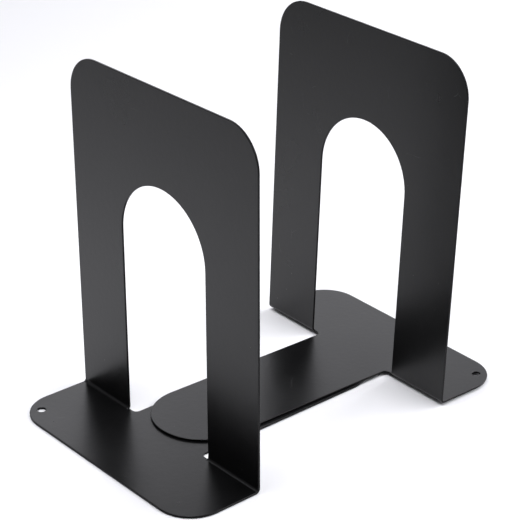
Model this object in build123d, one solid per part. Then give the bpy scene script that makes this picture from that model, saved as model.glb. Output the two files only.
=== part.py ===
from build123d import *
import math
import os

# A pair of book ends. Each one is a single piece of sheet steel: an upright plate with an arched
# window, an outer flange on one side of its foot, and on the other side the tongue that was
# punched out of the window. The two are alike and stand back to back, with the far one's tongue
# lying on the near one's and passing out through the near one's window.
#
# One book end is drawn in its own frame: the face of its upright that looks over its flange meets
# the ground along the Y axis, its flange runs to -X and its tongue to +X.

# Sheet and bend
SHEET = 1.2
BEND_RADIUS = 1.5  # inside the bend
LEAN = 1.25  # degrees that the upright tips over its own flange
EDGE_ROUND = 0.3  # punched edges, softened by the coat

# Upright
WIDTH = 149.0
HEIGHT = 200.0
TOP_CORNER_RADIUS = 21.4

# Arched window
WINDOW_WIDTH = 68.0
WINDOW_TOP = 145.8

# Flange
FLANGE_REACH = 48.4
FLANGE_CORNER_RADIUS = 20.9
HANG_HOLE_DIAMETER = 4.8
HANG_HOLE_INSET = 10.6  # from both outer edges of the flange

# Tongue
TONGUE_REACH = 140.7
TONGUE_WIDTH = 56.7
SLOT_END = 0.2  # the slots beside the tongue stop here, inside the bend
SLOT_CORNER_RADIUS = 2.8  # between the slot's end and the tongue

# How the pair stands
SPACING = 139.1  # from one upright to the other, at the ground
TURN = -1.4  # degrees that the far book end is turned from square
SIDE_SHIFT = 0.3
STACK_GAP = 0.1  # between the far book end's underside and the near one's tongue

half_width = WIDTH / 2
half_window = WINDOW_WIDTH / 2
half_tongue = TONGUE_WIDTH / 2
lean = math.radians(LEAN)
outer_bend_radius = BEND_RADIUS + SHEET
bend_x = -(BEND_RADIUS + outer_bend_radius * math.sin(lean)) / math.cos(lean)
window_cut_depth = 2 * outer_bend_radius  # reaches well past the bend on both sides
long_edge = 1.1 * SHEET  # an edge that is shorter runs through the sheet's thickness
upright_normal = Axis((0, 0, 0), (math.cos(lean), 0, math.sin(lean)))
upright_plane = Plane(origin=(0, 0, 0), x_dir=(0, 1, 0), z_dir=upright_normal.direction)

# Every edge beyond one of these lines is on the outer outline, or round the hang hole.
side_zone = 0.9 * half_width
top_zone = 0.9 * HEIGHT
flange_end_zone = -0.7 * FLANGE_REACH


def long_edges(edges):
    """The edges that run along the sheet, without the short ones through its thickness."""
    return edges.filter_by(lambda edge: edge.length > long_edge)


def window():
    """A block that clears the window, and the bend between the two legs."""
    with BuildPart() as block:
        with BuildSketch(upright_plane):
            with Locations((0, WINDOW_TOP - half_window)):
                Circle(half_window)
                Rectangle(WINDOW_WIDTH, WINDOW_TOP, align=(Align.CENTER, Align.MAX))
        extrude(amount=window_cut_depth, both=True)
    return block.part


def upright():
    """The upright with its window, and the bend at the foot of its two legs."""
    bend_centre = (bend_x, outer_bend_radius)
    top_inside = (-HEIGHT * math.sin(lean), HEIGHT * math.cos(lean))
    top_outside = (top_inside[0] + SHEET * math.cos(lean), top_inside[1] + SHEET * math.sin(lean))
    with BuildPart() as plate:
        with BuildSketch(Plane.XZ):
            with BuildLine():
                inside = CenterArc(bend_centre, BEND_RADIUS, -90, 90 + LEAN)
                outside = CenterArc(bend_centre, outer_bend_radius, -90, 90 + LEAN)
                Line(inside @ 0, outside @ 0)
                Polyline(inside @ 1, top_inside, top_outside, outside @ 1)
            make_face()
        extrude(amount=half_width, both=True)
        top_corners = plate.edges().filter_by(upright_normal).group_by(Axis.Z)[-1]
        fillet(top_corners, TOP_CORNER_RADIUS)
        add(window(), mode=Mode.SUBTRACT)
        window_edges = plate.edges(Select.LAST).filter_by(Axis.Y, reverse=True)
        fillet(long_edges(window_edges), EDGE_ROUND)
    return plate.part


def foot():
    """Flange and tongue: one flat plate, with the slots' ends and the hang hole."""
    root_corner = (SLOT_END, half_tongue + SLOT_CORNER_RADIUS)
    hole_centre = (HANG_HOLE_INSET - FLANGE_REACH, half_width - HANG_HOLE_INSET)
    with BuildPart() as plate:
        with BuildSketch():
            with BuildLine():
                flange = Polyline((-FLANGE_REACH, 0), (-FLANGE_REACH, half_width), (bend_x, half_width))
                slot = Polyline(flange @ 1, (bend_x, half_window), (SLOT_END, half_window), root_corner)
                corner = JernArc(slot @ 1, (0, -1), SLOT_CORNER_RADIUS, 90)
                side = Line(corner @ 1, (TONGUE_REACH - half_tongue, half_tongue))
                RadiusArc(side @ 1, (TONGUE_REACH, 0), half_tongue)
                mirror(about=Plane.XZ)
            make_face()
            with Locations(hole_centre):
                Circle(HANG_HOLE_DIAMETER / 2, mode=Mode.SUBTRACT)
        extrude(amount=SHEET)
        flange_corners = plate.edges().filter_by(Axis.Z).group_by(Axis.X)[0]
        fillet(flange_corners, FLANGE_CORNER_RADIUS)
        tongue_edges = plate.edges().filter_by_position(Axis.X, SLOT_END, TONGUE_REACH)
        fillet(long_edges(tongue_edges), EDGE_ROUND)
    return plate.part


def on_perimeter(edge):
    """Whether an edge is on the book end's outer outline, or round its hang hole."""
    middle = edge @ 0.5
    return abs(middle.Y) > side_zone or middle.Z > top_zone or middle.X < flange_end_zone


def book_end():
    """One finished book end in its own frame."""
    with BuildPart() as sheet:
        add(upright())
        add(foot())
        fillet(long_edges(sheet.edges()).filter_by(on_perimeter), EDGE_ROUND)
    return sheet.part


near_book_end = book_end()
far_book_end = Pos(SPACING, SIDE_SHIFT, SHEET + STACK_GAP) * Rot(Z=180 + TURN) * near_book_end

# The origin is on the ground, below the middle of the pair.
pair_box = near_book_end.bounding_box().add(far_book_end.bounding_box())
to_origin = Pos(-pair_box.center().X, -pair_box.center().Y, -pair_box.min.Z)

os.makedirs("parts", exist_ok=True)
export_step(to_origin * near_book_end, "parts/near_book_end.step")
export_step(to_origin * far_book_end, "parts/far_book_end.step")
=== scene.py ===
import math

import bpy
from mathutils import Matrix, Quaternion, Vector

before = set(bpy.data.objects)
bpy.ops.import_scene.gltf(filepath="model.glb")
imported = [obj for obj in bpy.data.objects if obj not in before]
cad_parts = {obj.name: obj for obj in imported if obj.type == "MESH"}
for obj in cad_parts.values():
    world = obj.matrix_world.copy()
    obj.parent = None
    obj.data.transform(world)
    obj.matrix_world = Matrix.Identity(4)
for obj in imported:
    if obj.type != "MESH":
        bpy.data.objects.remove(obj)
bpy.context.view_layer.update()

# Lengths are in metres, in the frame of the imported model.
MM = 0.001

# Camera
CAMERA_AIM = Vector((-0.0048, 0.0007, 0.08475))
CAMERA_DISTANCE = 0.9692
CAMERA_AZIMUTH = math.radians(-41.82)  # 0 looks along +Y
CAMERA_ELEVATION = math.radians(25.97)
CAMERA_ROLL = math.radians(1.0)
LENS = 123.76  # mm, on a sensor 36 mm wide

# Studio
FLOOR_DROP = 0.2 * MM  # the floor lies just below the steel, so that the two don't share a face
FLOOR_SIZE = 8.0
FLOOR_COLOUR = (0.86, 0.86, 0.86, 1.0)
FLOOR_ROUGHNESS = 0.9
SURROUND = 0.2  # strength of the light from all round
LIGHT_COLOUR = (1.0, 1.0, 1.05)  # a touch of blue
BETWEEN_BOOK_ENDS = (0.0, 0.0, 0.05)
SOFTBOXES = {
    # name: (place, what it points at, side, spread in degrees, power in watts)
    "softbox_above": ((-0.10, 0.10, 0.75), (-0.10, 0.10, 0.0), 0.5, 180, 3.2),
    "softbox_low": ((-0.15, 0.10, 0.40), (-0.15, 0.10, 0.0), 0.3, 90, 0.22),
    "softbox_right": ((1.2, -0.2, 0.8), BETWEEN_BOOK_ENDS, 1.0, 180, 14.6),
    "softbox_front_right": ((0.8, -1.1, 0.9), BETWEEN_BOOK_ENDS, 1.4, 180, 18.0),
    "softbox_back": ((0.3, 1.1, 0.6), BETWEEN_BOOK_ENDS, 0.7, 180, 1.1),
    "white_wall": ((1.1, 1.23, 0.55), BETWEEN_BOOK_ENDS, 1.1, 180, 5.1),
}

# Powder coat, with its grain, its orange peel and the patches where its tone and gloss drift
COAT_DARK = (0.0015, 0.0015, 0.0016, 1.0)
COAT_LIGHT = (0.0035, 0.0035, 0.0037, 1.0)
COAT_IOR = 1.4
COAT_GLOSSY = 0.27  # roughness where the coat is at its glossiest
COAT_DULL = 0.33
GRAIN_SIZE = 0.4 * MM
GRAIN_HEIGHT = 0.008 * MM
PEEL_SIZE = 3.0 * MM
PEEL_HEIGHT = 0.04 * MM
PATCH_SIZE = 45 * MM
PATCH_DETAIL = 4.0
PATCH_TONES = (0.35, 0.65)  # patch noise at the darkest and at the lightest coat
PATCH_GLOSSES = (0.3, 0.7)  # patch noise at the glossiest and at the dullest coat

# Worn edges: glossier from wear, and lightened in colour as a painted rim highlight
RUBBED_WIDTH = 0.6 * MM
RUBBED_SAMPLES = 4
RUBBED_TURN = (0.995, 0.93)  # cosine of the normal's turn over the edge, where the edge mark is nothing and where it is full
RUBBED_BREAKUP = (0.4, 0.6)  # peel noise where the edge mark of wear and painted highlight is weakest and strongest
RUBBED_LEAST = 0.2
# painted highlight: the lighter rim colour stands in for light caught on the rounded edges
RIM_HIGHLIGHT_COLOUR = (0.04, 0.04, 0.041, 1.0)
RUBBED_ROUGHNESS = 0.18

# Sheared edges, painted near-black and without gloss as shade
CUT_REACH = 1.14 * MM  # a little less than the sheet's thickness
CUT_SAMPLES = 32
CUT_OPENNESS = (0.74, 0.66)  # share of the inward rays that meet no face, on a face and on a sheared edge
# painted shade: the near-black colour of the sheared edges, which loses its gloss through the metallic
# link below
CUT_SHADE_COLOUR = (0.008, 0.008, 0.008, 1.0)

# Dust
DUST_SPACING = 7.0 * MM
DUST_RADIUS = 0.22 * MM
DUST_CORE = 0.5 * DUST_RADIUS  # a speck fades from here to its radius
DUST_DRAWS = (0.5, 0.9)  # random draws that give no speck at all and a full one
DUST_HEIGHT = 0.005 * MM
DUST_COLOUR = (0.3, 0.3, 0.28, 1.0)
DUST_ROUGHNESS = 0.9

# Scratches
SCRATCH_SPACING = 38 * MM
SCRATCH_LENGTH = 12 * MM
SCRATCH_STRETCHES = (0.6, 0.7)  # noise along a line where a scratch begins and where it is full
SCRATCH_WIDTH = 0.1 * MM
SCRATCH_COLOUR = (0.08, 0.08, 0.08, 1.0)
SCRATCH_ROUGHNESS = 0.5


def camera():
    """The camera at the photograph's viewing angle."""
    data = bpy.data.cameras.new("camera")
    data.lens = LENS
    away = Vector((
        math.sin(CAMERA_AZIMUTH) * math.cos(CAMERA_ELEVATION),
        -math.cos(CAMERA_AZIMUTH) * math.cos(CAMERA_ELEVATION),
        math.sin(CAMERA_ELEVATION),
    ))
    eye = bpy.data.objects.new("camera", data)
    eye.location = CAMERA_AIM + CAMERA_DISTANCE * away
    eye.rotation_mode = "QUATERNION"
    eye.rotation_quaternion = (-away).to_track_quat("-Z", "Y") @ Quaternion((0, 0, 1), CAMERA_ROLL)
    bpy.context.collection.objects.link(eye)
    bpy.context.scene.camera = eye


def new_material(name):
    """A new material, with its node tree and its shader."""
    made = bpy.data.materials.new(name)
    made.use_nodes = True
    return made, made.node_tree, made.node_tree.nodes["Principled BSDF"]


def add_node(tree, kind, inputs, **settings):
    """A new shader node. Each input is a plain value or the socket that feeds it."""
    node = tree.nodes.new("ShaderNode" + kind)
    for name, value in settings.items():
        setattr(node, name, value)
    for name, value in inputs.items():
        if isinstance(value, bpy.types.NodeSocket):
            tree.links.new(value, node.inputs[name])
        else:
            node.inputs[name].default_value = value
    return node


def noise(tree, place, size, detail=2.0):
    """Noise from 0 to 1 whose features are about the given size across."""
    inputs = {"Vector": place, "Scale": 1 / size, "Detail": detail}
    return add_node(tree, "TexNoise", inputs).outputs["Fac"]


def remap(tree, value, low, high, to_low=0.0, to_high=1.0):
    """The value, stretched from low..high to to_low..to_high and kept inside."""
    inputs = {"Value": value, "From Min": low, "From Max": high, "To Min": to_low, "To Max": to_high}
    return add_node(tree, "MapRange", inputs).outputs["Result"]


def times(tree, first, second):
    """The product of two values."""
    return add_node(tree, "Math", {0: first, 1: second}, operation="MULTIPLY").outputs["Value"]


def blend(tree, amount, first, second):
    """The first value where amount is 0, and the second where it is 1."""
    return add_node(tree, "Mix", {"Factor": amount, "A": first, "B": second}).outputs["Result"]


def blend_colour(tree, amount, first, second):
    """The first colour where amount is 0, and the second where it is 1."""
    return add_node(tree, "MixRGB", {"Fac": amount, "Color1": first, "Color2": second}).outputs["Color"]


def bump(tree, height, reach, under=None):
    """A normal with this relief, whose height from 0 to 1 spans reach, on top of another normal."""
    inputs = {"Height": height, "Distance": reach}
    if under:
        inputs["Normal"] = under
    return add_node(tree, "Bump", inputs).outputs["Normal"]


def floor():
    """A plain white floor."""
    half = FLOOR_SIZE / 2
    corners = [(-half, -half), (half, -half), (half, half), (-half, half)]
    mesh = bpy.data.meshes.new("floor")
    mesh.from_pydata([(x, y, -FLOOR_DROP) for x, y in corners], [], [(0, 1, 2, 3)])
    paper, tree, shader = new_material("white_paper")
    shader.inputs["Base Color"].default_value = FLOOR_COLOUR
    shader.inputs["Roughness"].default_value = FLOOR_ROUGHNESS
    mesh.materials.append(paper)
    sheet = bpy.data.objects.new("floor", mesh)
    bpy.context.collection.objects.link(sheet)


def light():
    """Soft light from all round, and the softboxes."""
    world = bpy.data.worlds.new("surround")
    world.use_nodes = True
    world.node_tree.nodes["Background"].inputs["Strength"].default_value = SURROUND
    world.node_tree.nodes["Background"].inputs["Color"].default_value = (*LIGHT_COLOUR, 1.0)
    bpy.context.scene.world = world
    for name, (place, aim, side, spread, power) in SOFTBOXES.items():
        data = bpy.data.lights.new(name, "AREA")
        data.size = side
        data.spread = math.radians(spread)
        data.energy = power
        data.color = LIGHT_COLOUR
        box = bpy.data.objects.new(name, data)
        box.location = place
        box.rotation_mode = "QUATERNION"
        box.rotation_quaternion = (Vector(aim) - Vector(place)).to_track_quat("-Z", "Y")
        bpy.context.collection.objects.link(box)


def rubbed_edges_and_highlight(tree, breakup):
    """1 on the sheet's edges, where the coat is thin and worn glossy and a rim highlight is painted, and
    0 away from them.
    """
    rounded = add_node(tree, "Bevel", {"Radius": RUBBED_WIDTH}, samples=RUBBED_SAMPLES).outputs["Normal"]
    true_normal = add_node(tree, "NewGeometry", {}).outputs["True Normal"]
    facing = add_node(tree, "VectorMath", {0: rounded, 1: true_normal}, operation="DOT_PRODUCT")
    edge = remap(tree, facing.outputs["Value"], *RUBBED_TURN)
    return times(tree, edge, remap(tree, breakup, *RUBBED_BREAKUP, RUBBED_LEAST, 1.0))


def cut_edge_shade(tree):
    """1 on the sheet's sheared edges, where both of its faces are close behind, and 0 on those faces; the
    painted shade goes there.
    """
    inputs = {"Distance": CUT_REACH}
    behind = add_node(tree, "AmbientOcclusion", inputs, samples=CUT_SAMPLES, inside=True, only_local=True)
    return remap(tree, behind.outputs["AO"], *CUT_OPENNESS)


def dust_specks(tree, place):
    """1 on specks of dust of several strengths, scattered at random."""
    cells = add_node(tree, "TexVoronoi", {"Vector": place, "Scale": 1 / DUST_SPACING}).outputs
    speck = remap(tree, cells["Distance"], DUST_RADIUS / DUST_SPACING, DUST_CORE / DUST_SPACING)
    draw = add_node(tree, "SeparateColor", {"Color": cells["Color"]}).outputs["Red"]
    return times(tree, speck, remap(tree, draw, *DUST_DRAWS))


def hairline_scratches(tree, place):
    """1 along short stretches of thin curved lines."""
    wander = add_node(tree, "TexNoise", {"Vector": place, "Scale": 1 / SCRATCH_SPACING}).outputs["Color"]
    inputs = {0: wander, 1: (SCRATCH_SPACING,) * 3, 2: place}
    wandering_place = add_node(tree, "VectorMath", inputs, operation="MULTIPLY_ADD").outputs["Vector"]
    inputs = {"Vector": wandering_place, "Scale": 1 / SCRATCH_SPACING}
    cells = add_node(tree, "TexVoronoi", inputs, feature="DISTANCE_TO_EDGE").outputs
    line = remap(tree, cells["Distance"], SCRATCH_WIDTH / SCRATCH_SPACING, 0.0)
    return times(tree, line, remap(tree, noise(tree, place, SCRATCH_LENGTH), *SCRATCH_STRETCHES))


def powder_coat():
    """Black satin powder coat, with orange peel, a fine grain, worn glossy edges with a painted rim
    highlight, sheared edges painted near-black as shade, dust and a few scratches.
    """
    coat, tree, shader = new_material("satin_powder_coat")
    place = add_node(tree, "TexCoord", {}).outputs["Object"]
    grain = noise(tree, place, GRAIN_SIZE)
    peel = noise(tree, place, PEEL_SIZE)
    patches = noise(tree, place, PATCH_SIZE, PATCH_DETAIL)
    rubbed_and_highlight = rubbed_edges_and_highlight(tree, peel)
    cut_shade = cut_edge_shade(tree)
    dust = dust_specks(tree, place)
    scratches = hairline_scratches(tree, place)

    colour = blend_colour(tree, remap(tree, patches, *PATCH_TONES), COAT_DARK, COAT_LIGHT)
    # painted highlight: lightens the edge rims
    colour = blend_colour(tree, rubbed_and_highlight, colour, RIM_HIGHLIGHT_COLOUR)
    # painted shade: darkens the sheared edges
    colour = blend_colour(tree, cut_shade, colour, CUT_SHADE_COLOUR)
    colour = blend_colour(tree, scratches, colour, SCRATCH_COLOUR)
    colour = blend_colour(tree, dust, colour, DUST_COLOUR)
    tree.links.new(colour, shader.inputs["Base Color"])

    roughness = remap(tree, patches, *PATCH_GLOSSES, COAT_GLOSSY, COAT_DULL)
    roughness = blend(tree, rubbed_and_highlight, roughness, RUBBED_ROUGHNESS)
    roughness = blend(tree, scratches, roughness, SCRATCH_ROUGHNESS)
    roughness = blend(tree, dust, roughness, DUST_ROUGHNESS)
    tree.links.new(roughness, shader.inputs["Roughness"])

    relief = bump(tree, peel, PEEL_HEIGHT)
    relief = bump(tree, grain, GRAIN_HEIGHT, relief)
    relief = bump(tree, dust, DUST_HEIGHT, relief)
    tree.links.new(relief, shader.inputs["Normal"])
    tree.links.new(cut_shade, shader.inputs["Metallic"])  # painted shade: makes the sheared edges near-black and glossless, as if shaded
    shader.inputs["IOR"].default_value = COAT_IOR
    return coat


camera()
floor()
light()
coat = powder_coat()
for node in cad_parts.values():
    for slot in node.material_slots:
        slot.material = coat

bpy.context.scene.view_settings.view_transform = "Standard"
